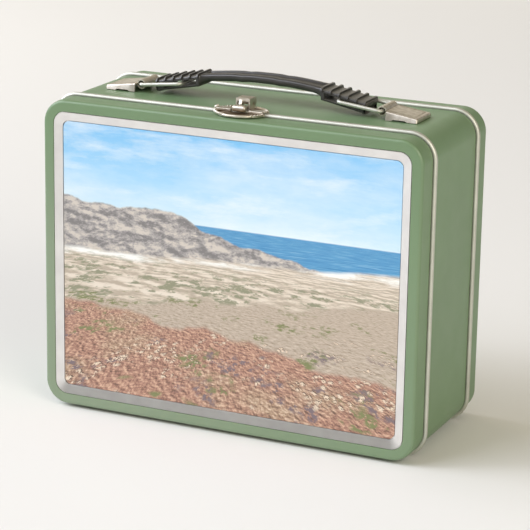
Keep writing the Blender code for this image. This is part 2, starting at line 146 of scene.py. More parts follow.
def cut(obj, point, normal, *rules, **options):
    """Cut the faces that pass every rule along a plane."""
    pick(obj, "FACE", *rules)
    bpy.ops.mesh.bisect(plane_co=point, plane_no=normal, **options)


def cut_across(obj, places):
    """Cut right through an object at each X."""
    for x in places:
        cut(obj, (x, 0, 0), X)


def extrude(way):
    bpy.ops.mesh.extrude_region_move(TRANSFORM_OT_translate={"value": way})


def inset(width, depth=0.0, **options):
    bpy.ops.mesh.inset(thickness=width, depth=depth, **options)


# %% Helpers: start, finish and join a piece
def named(name):
    """Name the new primitive and settle its place into its mesh."""
    obj = bpy.context.object
    obj.name = obj.data.name = name
    bpy.ops.object.transform_apply(location=True, rotation=True, scale=True)
    return obj


def cube(name, low, high):
    """A block between two opposite corners."""
    take()
    size = [abs(b - a) for a, b in zip(low, high)]
    middle = [(a + b) / 2 for a, b in zip(low, high)]
    bpy.ops.mesh.primitive_cube_add(size=1, location=middle, scale=size)
    return named(name)


def rod(name, middle, radius, length, axis="X", sides=32):
    """A cylinder along X, Y or Z."""
    turn = {"X": (0, math.pi / 2, 0), "Y": (math.pi / 2, 0, 0), "Z": (0, 0, 0)}[axis]
    take()
    bpy.ops.mesh.primitive_cylinder_add(
        vertices=sides, radius=radius, depth=length, location=middle, rotation=turn)
    return named(name)


def modify(obj, kind, **settings):
    """Add a modifier with these settings and apply it."""
    take(obj)
    modifier = obj.modifiers.new(kind.title(), kind)
    for key, value in settings.items():
        setattr(modifier, key, value)
    bpy.ops.object.modifier_apply(modifier=modifier.name)


def soften(obj, width, segments=2, degrees=30):
    """Round every edge that is sharper than an angle."""
    modify(obj, "BEVEL", width=width, segments=segments, limit_method="ANGLE",
           angle_limit=math.radians(degrees), use_clamp_overlap=True)


def join(name, *objects):
    take(*objects)
    bpy.ops.object.join()
    bpy.context.object.name = bpy.context.object.data.name = name
    return bpy.context.object


def copy(obj, name):
    """A second piece with a mesh of its own."""
    take(obj)
    bpy.ops.object.duplicate(linked=False)
    bpy.context.object.name = bpy.context.object.data.name = name
    return bpy.context.object


def mirrored(obj, name):
    """The same piece on the other side of the box, turned right side out."""
    twin = copy(obj, name)
    pick(twin, "FACE")
    bpy.ops.transform.resize(value=(-1, 1, 1), center_override=(0, 0, 0))
    bpy.ops.mesh.flip_normals()
    take(twin)
    return twin


def dress(obj, body, node, material, smooth=35):
    """Shade a piece, give it its finish, and hang it on the part that it stands for.

    Weighted normals keep a flat face flat in its reflections beside a rounded edge.
    """
    take(obj)
    bpy.ops.object.shade_smooth_by_angle(angle=math.radians(smooth))
    modify(obj, "WEIGHTED_NORMAL", keep_sharp=True)
    obj.data.materials.clear()
    obj.data.materials.append(material)
    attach(obj, body)
    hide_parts(node)
    print(f"{obj.name}: {len(obj.data.polygons)} faces, rides {body}")
    return obj


# %% [markdown]
# ## Finishes
#
# Each finish is a small node tree. One function adds any node: it takes the
# node's kind, what its sockets get (a value or another node's output) and its
# settings. It returns the node's first output, and the output knows its node.
# Patterns read Object coordinates, in metres, so their scale is one over a real
# size.

# %% Helpers: colours and nodes
def linear(hex_text):
    values = [int(hex_text[i:i + 2], 16) / 255 for i in (0, 2, 4)]
    return (*[v / 12.92 if v <= 0.04045 else ((v + 0.055) / 1.055) ** 2.4 for v in values], 1.0)


def add(tree, kind, sockets=None, stops=None, **settings):
    """Add one node, set its properties and sockets, and return its first output."""
    node = tree.nodes.new("ShaderNode" + kind)
    for key, value in settings.items():
        setattr(node, key, value)
    for key, value in (sockets or {}).items():
        if isinstance(value, bpy.types.NodeSocket):
            tree.links.new(value, node.inputs[key])
        else:
            node.inputs[key].default_value = value
    if stops:
        ramp = node.color_ramp.elements
        for position, hex_text in stops[1:-1]:
            ramp.new(position).color = linear(hex_text)
        for element, (position, hex_text) in ((ramp[0], stops[0]), (ramp[-1], stops[-1])):
            element.position = position
            element.color = linear(hex_text)
    outputs = [socket for socket in node.outputs if socket.enabled]
    return outputs[0] if outputs else node


def blank(name, **constants):
    """A new material: its node tree, its shader and the Object coordinates."""
    material = bpy.data.materials.new(name)
    material.use_nodes = True
    tree = material.node_tree
    shader = tree.nodes["Principled BSDF"]
    for key, value in constants.items():
        shader.inputs[key.replace("_", " ")].default_value = value
    return material, tree, shader, add(tree, "TexCoord").node.outputs["Object"]


def connect(tree, shader, tone, gloss, bump):
    """Link a pattern's colour, roughness and relief to the shader."""
    for key, value in (("Base Color", tone), ("Roughness", gloss), ("Normal", bump)):
        tree.links.new(value, shader.inputs[key])


# %% [markdown]
# ### Sage-green enamel on pressed steel
#
# Stoved enamel is smooth and satin. From a step away it shows slow drifts of
# tone, and close up a faint orange-peel skin that breaks up the reflections. On
# the front of the lid's rim the enamel is painted paler, most of all at the lower
# left: a painted sheen where the light from the front left falls.

# %% Enamel
# along each axis: where the painted sheen starts and is complete, in mm, and its least share
PAINTED_SHEEN_RIM = (("X", 105, -60, 0.3), ("Y", -45, -46.6, 0.0), ("Z", 160, 88, 0.0))


def enamel_on_pressed_steel():
    material, tree, shader, place = blank("enamel_on_pressed_steel", Metallic=0.0, IOR=1.7)
    drift = add(tree, "TexNoise", {"Vector": place, "Scale": 1 / (60 * MM), "Detail": 2.0})
    tone = add(tree, "ValToRGB", {"Fac": drift}, stops=[(0.3, "66815D"), (0.7, "6A8761")])
    axes = add(tree, "SeparateXYZ", {0: place}).node.outputs
    # painted sheen: the lid's rim is mixed towards a paler green at its front, most at the lower
    # left
    painted_sheen = 1.0
    for axis, start, end, least in PAINTED_SHEEN_RIM:
        share = add(tree, "MapRange", {"Value": axes[axis], "From Min": start * MM,
                                       "From Max": end * MM, "To Min": least})
        painted_sheen = add(tree, "Math", {0: share, 1: painted_sheen}, operation="MULTIPLY")
    tone = add(tree, "Mix", {0: painted_sheen, 6: tone, 7: linear("809277")}, data_type="RGBA")
    gloss = add(tree, "TexNoise", {"Vector": place, "Scale": 1 / (14 * MM), "Detail": 3.0})
    satin = add(tree, "MapRange", {"Value": gloss, "To Min": 0.38, "To Max": 0.52})
    # real orange peel is about 0.5 mm across, drawn here at 1.6 mm so that it shows
    peel = add(tree, "TexNoise", {"Vector": place, "Scale": 1 / (1.6 * MM), "Detail": 1.0})
    bump = add(tree, "Bump", {"Height": peel, "Strength": 0.05, "Distance": 0.1 * MM})
    connect(tree, shader, tone, satin, bump)
    return material


# %% [markdown]
# ### Bright steel, satin steel and nickel plate
#
# All three are bare metal, and differ in tone and in how they were worked. The
# rolled seams are bright, the pressed tray is satin with faint clouds, and the
# fittings are plated in warm nickel. In the latch's groove the nickel is painted
# brown: partly tarnish, and partly painted shade where the groove lies in shadow.

# %% Metals
def worked_metal(name, dark, light, low, high, cloud, grain, relief):
    """Bare metal: two tones in clouds, and fine working marks in bump and gloss."""
    material, tree, shader, place = blank(name, Metallic=1.0)
    drift = add(tree, "TexNoise", {"Vector": place, "Scale": 1 / cloud, "Detail": 3.0})
    tone = add(tree, "ValToRGB", {"Fac": drift}, stops=[(0.35, dark), (0.65, light)])
    marks = add(tree, "TexNoise", {"Vector": place, "Scale": 1 / grain, "Detail": 2.0})
    gloss = add(tree, "MapRange", {"Value": marks, "From Min": 0.3, "From Max": 0.7,
                                   "To Min": low, "To Max": high})
    bump = add(tree, "Bump", {"Height": marks, "Strength": relief, "Distance": 0.05 * MM})
    connect(tree, shader, tone, gloss, bump)
    return material


def tarnish_and_painted_shade(material, middle, half_x, half_y, top, tint):
    """Darken a metal inside an upright oval, below a height: tarnish and painted shade."""
    tree = material.node_tree
    shader = tree.nodes["Principled BSDF"]
    clean = shader.inputs["Base Color"].links[0].from_socket
    place = tree.nodes["Texture Coordinate"].outputs["Object"]
    plan = add(tree, "Mapping", {"Vector": place, "Scale": (1 / half_x, 1 / half_y, 0.0),
                                 "Location": (-middle.x / half_x, -middle.y / half_y, 0.0)})
    radius = add(tree, "VectorMath", {0: plan}, operation="LENGTH").node.outputs["Value"]
    inside = add(tree, "MapRange", {"Value": radius, "From Min": 0.93, "From Max": 0.88})
    height = add(tree, "SeparateXYZ", {0: place}).node.outputs["Z"]
    low_down = add(tree, "MapRange", {"Value": height, "From Min": top, "From Max": top - 0.2 * MM})
    mask = add(tree, "Math", {0: inside, 1: low_down}, operation="MULTIPLY")
    tone = add(tree, "Mix", {0: mask, 6: clean, 7: linear(tint)}, data_type="RGBA")
    tree.links.new(tone, shader.inputs["Base Color"])


# %% [markdown]
# ### Moulded handle plastic
#
# The handle is moulded in soft black plastic. The mould gives it a fine grain,
# and handling polishes the high places and leaves them greyer. On the ribbed
# ends, the faces that look upwards are painted a lighter grey: a painted highlight
# where the light falls on their tops.

# %% Handle plastic
def moulded_plastic():
    material, tree, shader, place = blank("moulded_black_plastic", Metallic=0.0, IOR=1.7)
    handling = add(tree, "TexNoise", {"Vector": place, "Scale": 1 / (9 * MM), "Detail": 4.0})
    tone = add(tree, "ValToRGB", {"Fac": handling}, stops=[(0.3, "242322"), (0.75, "33312E")])
    span = add(tree, "Math", {0: add(tree, "SeparateXYZ", {0: place})}, operation="ABSOLUTE")
    ends = add(tree, "MapRange", {"Value": span, "From Min": 34 * MM, "From Max": 37 * MM})
    slant = add(tree, "SeparateXYZ", {0: place.node.outputs["Normal"]}).node.outputs["Z"]
    upward = add(tree, "MapRange", {"Value": slant, "From Min": 0.5, "From Max": 0.85})
    # painted highlight: upward faces of both ribbed ends are mixed towards a lighter grey
    painted_top_highlight = add(tree, "Math", {0: ends, 1: upward}, operation="MULTIPLY")
    tone = add(tree, "Mix", {0: painted_top_highlight, 6: tone, 7: linear("62615C")}, data_type="RGBA")
    gloss = add(tree, "MapRange", {"Value": handling, "From Min": 0.3, "From Max": 0.7,
                                   "To Min": 0.34, "To Max": 0.46})
    grain = add(tree, "TexNoise", {"Vector": place, "Scale": 1 / (0.5 * MM), "Detail": 1.0})
    bump = add(tree, "Bump", {"Height": grain, "Strength": 0.1, "Distance": 0.05 * MM})
    connect(tree, shader, tone, gloss, bump)
    return material


# %% [markdown]
# ### Printed sheet
#
# The picture is a printed metal sheet with a soft gloss. Its print here is a
# plain coast in layers: sky, sea, a headland, a beach, scrub and stony earth. A
# layer is everything below a wavy line, laid over the layer behind it, so the
# picture is built from the back to the front. The ground's marks shrink towards
# the horizon because its noise is read at 1 / (horizon - v), as a level plane is
# seen. Rough ground gets light and shade by taking away the same noise read a
# little further along.

# %% Landscape print
HORIZON = 0.27
SUN_SHIFT = (0.3, 0.35, 0.0)


def printed_landscape(low, high):
    material, tree, shader, place = blank("printed_sheet", Metallic=0.0, Roughness=0.3, IOR=1.5)
    middle = (low + high) / 2
    half_w = (high.x - low.x) / 2
    # u and v run from -1 to 1 in steps of half the picture's width
    plane = add(tree, "Mapping", {"Vector": place, "Location": [-c / half_w for c in middle],
                                  "Scale": (1 / half_w, 1 / half_w, 1 / half_w)})
    axes = add(tree, "SeparateXYZ", {0: plane}).node.outputs
    u, v = axes["X"], axes["Z"]
    upright = add(tree, "CombineXYZ", {"X": u, "Y": v})
    below = add(tree, "Math", {0: HORIZON + 0.05, 1: v}, operation="SUBTRACT")
    distance = add(tree, "Math", {0: 1.0, 1: below}, operation="DIVIDE")
    across = add(tree, "Math", {0: u, 1: distance}, operation="MULTIPLY")
    level = add(tree, "CombineXYZ", {"X": across, "Y": distance})

    def patches(flat, size, stretch=1.0, seed=0.0, detail=6.0, ragged=0.6):
        """Clouds of tone about this size, drawn out sideways."""
        moved = add(tree, "Mapping", {"Vector": flat, "Location": (seed, 0, seed),
                                      "Scale": (1 / stretch, 1, 1)})
        return add(tree, "TexNoise", {"Vector": moved, "Scale": 1 / size, "Detail": detail,
                                      "Roughness": ragged})

    def rough(flat, size, stretch=1.0, seed=0.0, relief=2.5):
        """Patches with light and shade, as on rough ground under a low sun."""
        here = patches(flat, size, stretch, seed, 8.0, 0.7)
        shift = add(tree, "Mapping", {"Vector": flat, "Location": [size * c for c in SUN_SHIFT]})
        slope = add(tree, "Math", {0: here, 1: patches(shift, size, stretch, seed, 8.0, 0.7)},
                    operation="SUBTRACT")
        return add(tree, "Math", {0: slope, 1: relief, 2: here}, operation="MULTIPLY_ADD")

    def skyline(level_v, rise, size, slope=0.0, seed=0.0):
        """Height of a wavy line at each u."""
        line = add(tree, "CombineXYZ", {"X": u, "Y": seed})
        wave = add(tree, "TexNoise", {"Vector": line, "Scale": 1 / size, "Detail": 5.0})
        swing = add(tree, "Math", {0: wave, 1: 0.5}, operation="SUBTRACT")
        wavy = add(tree, "Math", {0: swing, 1: rise, 2: level_v}, operation="MULTIPLY_ADD")
        return add(tree, "Math", {0: u, 1: slope, 2: wavy}, operation="MULTIPLY_ADD")

    def layer(back, front, line, soft=0.005):
        """Lay a colour over the picture below a line."""
        depth = add(tree, "Math", {0: line, 1: v}, operation="SUBTRACT")
        mask = add(tree, "MapRange", {"Value": depth, "From Min": -soft, "From Max": soft})
        return add(tree, "Mix", {0: mask, 6: back, 7: front}, data_type="RGBA")

    def scatter(back, tint, size, share, seed, thicket, top, shift=0.0):
        """Small ragged marks below a height, gathered where a broad noise is high."""
        moved = add(tree, "Mapping", {"Vector": level, "Location": (shift, shift, 0.0)})
        wander = patches(moved, size * 0.6, 1.0, seed, 3.0)
        ragged = add(tree, "Math", {0: wander, 1: size * 2.5}, operation="MULTIPLY")
        bent = add(tree, "VectorMath", {0: moved, 1: ragged}, operation="ADD")
        wide = add(tree, "Mapping", {"Vector": bent, "Scale": (0.7, 1, 1)})
        cells = add(tree, "TexVoronoi", {"Vector": wide, "Scale": 1 / size})
        mark = add(tree, "MapRange", {"Value": cells, "From Min": share, "From Max": share * 0.7})
        crowd = add(tree, "MapRange", {"Value": patches(level, 0.22, 1.6, seed + 5.0, 3.0),
                                       "From Min": thicket, "From Max": thicket + 0.06})
        low_down = add(tree, "MapRange", {"Value": v, "From Min": top, "From Max": top - 0.08})
        thick = add(tree, "Math", {0: mark, 1: crowd}, operation="MULTIPLY")
        mask = add(tree, "Math", {0: thick, 1: low_down}, operation="MULTIPLY")
        return add(tree, "Mix", {0: mask, 6: back, 7: linear(tint)}, data_type="RGBA")

    height = add(tree, "MapRange", {"Value": v, "From Min": HORIZON, "From Max": 0.78})
    sky = add(tree, "ValToRGB", {"Fac": height},
              stops=[(0.0, "CBE4F1"), (0.4, "A3D2F2"), (1.0, "77BBEA")])
    for size, stretch, seed, start in ((0.42, 3.2, 3.1, 0.47), (0.11, 4.0, 8.4, 0.5)):
        veil = add(tree, "MapRange", {"Value": patches(upright, size, stretch, seed, 7.0),
                                      "From Min": start, "From Max": start + 0.25, "To Max": 0.6})
        sky = add(tree, "Mix", {0: veil, 6: sky, 7: linear("F3F6F7")}, data_type="RGBA")
    sea = add(tree, "ValToRGB", {"Fac": patches(level, 0.25, 5.0)},
              stops=[(0.35, "3E83B8"), (0.55, "5C9DC9"), (0.75, "9CC3D8")])
    picture = layer(sky, sea, skyline(HORIZON, 0.0, 1.0), 0.003)
    cliff = add(tree, "ValToRGB", {"Fac": rough(upright, 0.055, 2.0, 4.0)},
                stops=[(0.2, "7E7C7C"), (0.5, "A5A1A0"), (0.8, "CCC5BC")])
    picture = layer(picture, cliff, skyline(0.2, 0.34, 0.7, slope=-0.17, seed=4.7))
    sand = add(tree, "ValToRGB", {"Fac": rough(level, 0.22, 2.6, 2.0)},
               stops=[(0.3, "B5A999"), (0.5, "CDC1B1"), (0.75, "E0D6C8")])
    surf = add(tree, "MapRange", {"Value": patches(upright, 0.05, 5.0, 1.4),
                                  "From Min": 0.42, "From Max": 0.55})
    foam = add(tree, "Mix", {0: surf, 6: sand, 7: linear("F1F2EE")}, data_type="RGBA")
    picture = layer(picture, foam, skyline(0.085, 0.09, 0.6, slope=0.05, seed=2.2), 0.01)
    picture = layer(picture, sand, skyline(0.05, 0.08, 0.5, slope=0.04, seed=7.9), 0.012)
    picture = scatter(picture, "8F9078", 0.14, 0.6, 2.6, 0.46, 0.06)
    scrub = add(tree, "ValToRGB", {"Fac": rough(level, 0.03, 2.0, 9.0, 0.6)},
                stops=[(0.25, "8E8270"), (0.42, "B0A292"), (0.6, "C0B3A4"), (0.8, "D8CDBF")])
    picture = layer(picture, scrub, skyline(-0.15, 0.14, 0.3, slope=0.10, seed=9.3), 0.01)
    grit = rough(level, 0.024, 1.3, 5.0, 0.9)
    red = add(tree, "ValToRGB", {"Fac": grit},
              stops=[(0.25, "6A5148"), (0.43, "9E7767"), (0.55, "B58D7B"), (0.75, "D9B89E")])
    tan = add(tree, "ValToRGB", {"Fac": grit},
              stops=[(0.25, "75604F"), (0.43, "A08570"), (0.55, "B79C84"), (0.75, "DDCBB4")])
    bare = add(tree, "MapRange", {"Value": patches(level, 0.3, 2.0, 6.0),
                                  "From Min": 0.48, "From Max": 0.66})
    earth = add(tree, "Mix", {0: bare, 6: red, 7: tan}, data_type="RGBA")
    picture = layer(picture, earth, skyline(-0.36, 0.2, 0.35, slope=-0.12, seed=5.5), 0.012)
    # tufts, then stones: each stone is a dark mark with a light one a little beside it
    for marks in (("7D8358", 0.05, 0.6, 0.0, 0.55, -0.1, 0.0),
                  ("7A6C72", 0.045, 0.55, 7.7, 0.56, -0.3, 0.0),
                  ("5E4A40", 0.04, 0.4, 3.3, 0.53, -0.2, -0.006),
                  ("E4D3BE", 0.04, 0.38, 3.3, 0.53, -0.2, 0.0)):
        picture = scatter(picture, *marks)
    tree.links.new(picture, shader.inputs["Base Color"])
    return material


# %% Make the finishes
# dark and light tone, least and greatest roughness, size of clouds and marks, relief
BRIGHT_LOOK = ("CACBC1", "D5D6CC", 0.5, 0.62, 15 * MM, 0.8 * MM, 0.03)
SATIN_LOOK = ("E6E4E3", "EFEEEC", 0.28, 0.32, 12 * MM, 0.6 * MM, 0.004)
NICKEL_LOOK = ("C4BCAE", "DCD6CA", 0.34, 0.46, 3 * MM, 0.4 * MM, 0.04)
ENAMEL = enamel_on_pressed_steel()
BRIGHT = worked_metal("rolled_bright_steel", *BRIGHT_LOOK)
SATIN = worked_metal("satin_pressed_steel", *SATIN_LOOK)
NICKEL = worked_metal("nickel_plated_sheet", *NICKEL_LOOK)
PLASTIC = moulded_plastic()
PRINT = printed_landscape(*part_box("picture_plate"))
print("finishes:", [m.name for m in bpy.data.materials])

# %% [markdown]
# ## The pressed shells
#
# The lid, the band and the rear cover share one outline: a rectangle with 13 mm
# corners. A press forms each from flat sheet. Here a cube gets its four long
# edges rounded, its open sides are deleted, and Solidify turns the skin into
# sheet. Drawing the outline as a curve would work too, but a bevelled cube keeps
# clean rows of faces for the rolled edge.

# %% Sizes of the shells
wall_low, wall_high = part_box("body_band")
CORNER, CORNER_STEPS = 13.0 * MM, 16
SHEET, SHEET_EDGE = 0.8 * MM, 0.2 * MM
ROLLED_EDGE, ROLLED_STEPS = 1.8 * MM, 6
RIM = 6.1 * MM
print("walls:", [round(c / MM, 1) for c in wall_high - wall_low], "mm")


def rounded_block(name, outset, front, back, corner=None):
    """A block in the box's outline, moved outwards by outset."""
    low = (wall_low.x - outset, front, wall_low.z - outset)
    high = (wall_high.x + outset, back, wall_high.z + outset)
    block = cube(name, low, high)
    round_off(block, corner or CORNER + outset, CORNER_STEPS, along(Y))
    return block


def outline(name, outset, y, corner=None):
    """One flat face in the box's outline, looking forwards."""
    face = rounded_block(name, outset, y, y + SHEET, corner)
    pick(face, "FACE", at("Y", y))
    bpy.ops.mesh.select_all(action="INVERT")
    bpy.ops.mesh.delete(type="FACE")
    return face


def thicken(skin, thickness=SHEET):
    """Turn a skin into sheet, inwards."""
    modify(skin, "SOLIDIFY", thickness=thickness, offset=-1, use_even_offset=True)


def hoop(name, outset, front, back):
    """A band of sheet in the box's outline, open in front and behind."""
    band = rounded_block(name, outset, front, back)
    for y in (front, back):
        clear(band, "FACE", at("Y", y))
    thicken(band)
    soften(band, SHEET_EDGE)
    return band


# %% Lid shell
low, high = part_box("lid_pan")
lid = rounded_block("lid_shell", 0, low.y, high.y)
round_off(lid, ROLLED_EDGE, ROLLED_STEPS, at("Y", low.y))
pick(lid, "FACE", at("Y", low.y))
inset(RIM - ROLLED_EDGE)
bpy.ops.mesh.delete(type="FACE")
clear(lid, "FACE", at("Y", high.y))
thicken(lid)
soften(lid, SHEET_EDGE)
dress(lid, "lid", "lid_pan", ENAMEL)

# %% Band
low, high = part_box("body_band")
band = hoop("band_shell", 0, low.y, high.y)
dress(band, "box", "body_band", ENAMEL)

# %% Rear cover with its pressed panel
PANEL_SLOPE, PANEL_DEPTH = 3.0 * MM, 1.5 * MM
low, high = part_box("back_pan")
rear = rounded_block("rear_shell", 0, low.y, high.y)
round_off(rear, ROLLED_EDGE, ROLLED_STEPS, at("Y", high.y))
pick(rear, "FACE", at("Y", high.y))
inset(RIM - ROLLED_EDGE)
inset(PANEL_SLOPE, -PANEL_DEPTH)
clear(rear, "FACE", at("Y", low.y))
thicken(rear)
soften(rear, 0.3 * MM, segments=3, degrees=22)
dress(rear, "box", "back_pan", ENAMEL)

# %% [markdown]
# ## Rolled seams
#
# Where the covers meet the band, the edges are rolled over into a bright bead.
# A bead is a wire along the outline: the outline's edges become a curve, and the
# curve's bevel gives it its round section. A lip of flat sheet inside holds the
# covers. At the bottom of the front seam the bead stops for the hinge.

# %% Beads and their lips
SEAM_Y = -31.5 * MM
BEAD_R, BEAD_STEPS = 1.4 * MM, 5
BEAD_OUT = 0.4 * MM
LIP_GAP = 0.3 * MM
HINGE_HALF = 80.3 * MM


def round_wire(face, radius, steps):
    """Keep only the outline of a flat face, as a round wire."""
    pick(face, "FACE")
    bpy.ops.mesh.delete(type="ONLY_FACE")
    take(face)
    bpy.ops.object.convert(target="CURVE")
    bpy.context.object.data.bevel_depth = radius
    bpy.context.object.data.bevel_resolution = steps
    bpy.ops.object.convert(target="MESH")
    return bpy.context.object


def cut_for_hinge(bead):
    """Take out the bead between the hinge's ends and close the two cuts."""
    lower = within("Z", -BEAD_R, 3 * BEAD_R)
    for side in (-1, 1):
        cut(bead, (side * HINGE_HALF, 0, 0), X, lower)
    clear(bead, "FACE", lower, within("X", -HINGE_HALF, HINGE_HALF))
    bpy.ops.mesh.select_all(action="SELECT")
    bpy.ops.mesh.fill_holes(sides=0)


for name, node in (("front_seam", "front_frame"), ("rear_seam", "back_frame")):
    low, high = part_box(node)
    middle = math.copysign(SEAM_Y, low.y + high.y)
    bead = round_wire(outline(name, BEAD_OUT, middle), BEAD_R, BEAD_STEPS)
    lip = hoop(name + "_lip", -SHEET - LIP_GAP, low.y, high.y)
    if node == "front_frame":
        cut_for_hinge(bead)
    dress(join(name, bead, lip), "box", node, BRIGHT)

# %% [markdown]
# ## Bright tray and picture
#
# The picture lies in a pressed tray. The tray's flange is trapped behind the
# lid's rim, its wall comes forward through the window, and a sloping bevel leads
# back to the picture. The window's corners are round and the picture's are
# tighter, so the bevel is made by bridging two outlines with the same number of
# points.

# %% Tray
TRAY_SHEET, TRAY_EDGE = 0.5 * MM, 0.08 * MM
FLANGE, WINDOW = 2.5 * MM, 6.4 * MM
PICTURE_EDGE, PICTURE_CORNER = 11.0 * MM, 3.8 * MM
tray_low, tray_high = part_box("front_tray")
BEVEL_END = tray_low.y + 1.3 * MM
FLANGE_Y = tray_low.y + 1.0 * MM

tray = outline("bright_tray", -FLANGE, FLANGE_Y)
pick(tray, "FACE")
inset(WINDOW - FLANGE)
extrude((0, tray_low.y - FLANGE_Y, 0))
bpy.ops.mesh.delete(type="FACE")
floor_sheet = outline("tray_floor", -PICTURE_EDGE, BEVEL_END, PICTURE_CORNER)
pick(floor_sheet, "FACE")
extrude((0, tray_high.y - TRAY_SHEET - BEVEL_END, 0))
clear(floor_sheet, "FACE", at("Y", BEVEL_END))
tray = join("bright_tray", tray, floor_sheet)
window, inner = at("Y", tray_low.y), at("Y", BEVEL_END)
pick(tray, "EDGE", lambda edge: edge.is_boundary and (window(edge) or inner(edge)))
bpy.ops.mesh.bridge_edge_loops()
thicken(tray, TRAY_SHEET)
soften(tray, TRAY_EDGE)
dress(tray, "lid", "front_tray", SATIN)

# %% Picture
low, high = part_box("picture_plate")
picture = rounded_block("picture_sheet", wall_low.x - low.x, low.y, high.y, PICTURE_CORNER)
soften(picture, 0.15 * MM)
dress(picture, "lid", "picture_plate", PRINT)

# %% [markdown]
# ## Hinge
#
# The lid turns on a piano hinge below the front seam. A leaf is a strip of sheet
# with fingers, and each finger carries a knuckle, a short tube round the pin. The
# fingers of one leaf stand in the gaps of the other, so both leaves come from one
# function that is told which numbers to make.

# %% Tube and hinge
HINGE_Z, HINGE_LENGTH = 1.4 * MM, 160.0 * MM
KNUCKLES, KNUCKLE_BORE = 9, 0.9 * MM
RUN_GAP = 0.3 * MM
PITCH = HINGE_LENGTH / KNUCKLES
LEAF_NEAR, LEAF_FAR = 3.5 * MM, 11.5 * MM
LEAF_LOW, LEAF_TOP = 0.9 * MM, 1.5 * MM
FINGER_TIP = 1.15 * MM
PIN_R = 0.6 * MM


def pipe(name, middle, radius, bore, length, axis, sides=32):
    """A rod with a bore: its ends are inset, and the two inner faces bridged."""
    tube = rod(name, middle, radius, length, axis, sides)
    pick(tube, "FACE", lambda face: len(face.verts) == sides)
    inset(radius - bore, use_individual=True)
    bpy.ops.mesh.bridge_edge_loops()
    return tube


def hinge_leaf(name, node, side, numbers):
    low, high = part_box(node)
    near, far = SEAM_Y + side * LEAF_NEAR, SEAM_Y + side * LEAF_FAR
    leaf = cube(name, (low.x, near, LEAF_LOW), (-low.x, far, LEAF_TOP))
    knuckles = []
    for number in numbers:
        start = -KNUCKLES * PITCH / 2 + number * PITCH + RUN_GAP / 2
        end = start + PITCH - RUN_GAP
        cut_across(leaf, (start, end))
        pick(leaf, "FACE", at("Y", near), within("X", start, end))
        extrude((0, SEAM_Y + side * FINGER_TIP - near, 0))
        middle = ((start + end) / 2, SEAM_Y, HINGE_Z)
        knuckles.append(pipe("knuckle", middle, BEAD_R, KNUCKLE_BORE, end - start, "X", 24))
    soften(leaf, 0.12 * MM)
    return join(name, leaf, *knuckles)


box_leaf = hinge_leaf("hinge_strip_box", "hinge_leaf_body", 1, range(0, KNUCKLES, 2))
lid_leaf = hinge_leaf("hinge_strip_lid", "hinge_leaf_lid", -1, range(1, KNUCKLES, 2))
pin = rod("hinge_wire", (0, SEAM_Y, HINGE_Z), PIN_R, HINGE_LENGTH, "X", 16)
soften(pin, 0.15 * MM)
dress(box_leaf, "box", "hinge_leaf_body", BRIGHT)
dress(lid_leaf, "lid", "hinge_leaf_lid", BRIGHT)
dress(pin, "box", "hinge_pin", BRIGHT)

# %% [markdown]
# ## Handle brackets
#
# Each bracket is one piece of folded sheet. Its cap slopes down outwards and has
# flanges on three sides that lean out a little, with a pressed line beside the
# folds and a cut-out in the long flanges. Its inner edge is rolled into a tube
# for the wire loop, and a groove shows where the sheet meets itself. The right
# one is modelled, and the left one is its mirror image.

# %% Bracket cap
low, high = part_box("bracket_right")
CAP_IN, CAP_OUT = 73.0 * MM, high.x
CAP_LOW, CAP_TOP, CAP_FALL = low.z, 177.2 * MM, -2.5 * MM
CAP_LEAN, CAP_AREA = 0.92, 100 * MM * MM
FOLD_R, FOLD_STEPS = 0.8 * MM, 4
LINE_IN, LINE_HALF, LINE_DEEP = 1.0 * MM, 0.5 * MM, 0.35 * MM
CUT_OUT = (76.0 * MM, 77.2 * MM, 83.5 * MM, 85.0 * MM)
CUT_OUT_RISE = 0.7 * MM

cap = cube("bracket_right_cap", (CAP_IN, low.y, CAP_LOW), (CAP_OUT, high.y, CAP_TOP))
move(cap, "EDGE", (0, 0, CAP_FALL), at("X", CAP_OUT), at("Z", CAP_TOP))
pick(cap, "VERT", within("Z", CAP_LOW + MM, CAP_TOP + MM))
bpy.ops.transform.resize(value=(1, CAP_LEAN, 1), center_override=(0, 0, 0))
inner_end, foot = at("X", CAP_IN), at("Z", CAP_LOW)
round_off(cap, FOLD_R, FOLD_STEPS, lambda edge: not inner_end(edge) and not foot(edge))
clear(cap, "FACE", lambda face: inner_end(face) or foot(face))
pick(cap, "FACE", facing(Z, 0.97), lambda face: face.calc_area() > CAP_AREA)
inset(LINE_IN, use_boundary=False)
for depth in (-LINE_DEEP, LINE_DEEP):
    inset(LINE_HALF, depth, use_boundary=False)
for x in CUT_OUT:
    cut(cap, (x, 0, 0), X, lambda face: abs(face.normal.y) > 0.9)
move(cap, "VERT", (0, 0, CUT_OUT_RISE), foot, within("X", CUT_OUT[1] - NEAR, CUT_OUT[2] + NEAR))
thicken(cap)
soften(cap, 0.12 * MM, degrees=40)
print("cap:", len(cap.data.polygons), "faces")

# %% Bracket tube, and both brackets
TUBE_R, TUBE_BORE, TUBE_HALF = 2.6 * MM, 1.9 * MM, 7.9 * MM
TUBE_X, TUBE_Z = low.x + TUBE_R, high.z - TUBE_R
GROOVE_SIDE, GROOVE_IN, GROOVE_DEEP = Vector((0.42, 0, 0.91)), 0.12 * MM, 0.3 * MM
tube = pipe("bracket_tube", (TUBE_X, 0, TUBE_Z), TUBE_R, TUBE_BORE, 2 * TUBE_HALF, "Y")
pick(tube, "FACE", facing(GROOVE_SIDE, 0.995))
inset(GROOVE_IN, -GROOVE_DEEP)
soften(tube, 0.1 * MM, degrees=50)
link = cube("bracket_link", (TUBE_X + 1.6 * MM, -TUBE_HALF, CAP_TOP - SHEET),
            (CAP_IN + SHEET, TUBE_HALF, CAP_TOP - 0.05 * MM))
soften(link, 0.1 * MM)
right_bracket = join("bracket_right_fold", cap, tube, link)
left_bracket = mirrored(right_bracket, "bracket_left_fold")
